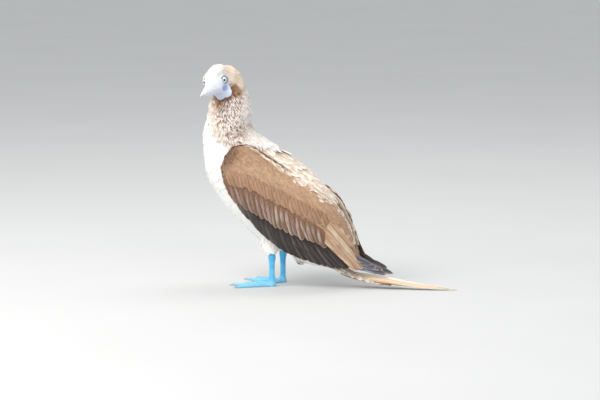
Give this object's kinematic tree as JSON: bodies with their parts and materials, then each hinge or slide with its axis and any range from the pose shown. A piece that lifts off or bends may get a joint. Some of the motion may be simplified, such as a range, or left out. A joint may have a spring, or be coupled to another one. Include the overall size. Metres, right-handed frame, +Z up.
{
  "type": "blue-footed booby",
  "caption": "Life-size still model of a blue-footed booby standing on both feet, head turned to its left, wings folded and tail laid along the floor.",
  "frame": {"origin": "on the floor under the middle of the box round the bird", "axes": "+X from the bill end toward the tail, +Y to the bird's right, +Z up"},
  "size_m": [0.5008, 0.218, 0.4229],
  "materials": {
    "white_feathers": "soft matt white plumage",
    "streaked_feathers": "narrow pale feathers streaked with brown",
    "wing_feathers": "brown vanes with paler edges, slightly silky",
    "tail_feathers": "pale vanes with brown edges, slightly silky",
    "bill_horn": "smooth blue-grey horn",
    "eye": "wet, pale yellow round a small black pupil",
    "blue_skin": "bare turquoise blue skin with fine scales",
    "claw_horn": "smooth grey horn"
  },
  "bodies": {
    "root": {"bill_lower": "bill_horn", "bill_upper": "bill_horn", "claw_left_hind": "claw_horn", "claw_left_inner": "claw_horn", "claw_left_middle": "claw_horn", "claw_left_outer": "claw_horn", "claw_right_hind": "claw_horn", "claw_right_inner": "claw_horn", "claw_right_middle": "claw_horn", "claw_right_outer": "claw_horn", "eye_left": "eye", "eye_right": "eye", "foot_left": "blue_skin", "foot_right": "blue_skin", "head": "streaked_feathers", "neck": "streaked_feathers", "shank_left": "blue_skin", "shank_right": "blue_skin", "tail": "tail_feathers", "thigh_left": "white_feathers", "thigh_right": "white_feathers", "torso": "white_feathers", "wing_left": "wing_feathers", "wing_right": "wing_feathers"}
  },
  "joints": []
}
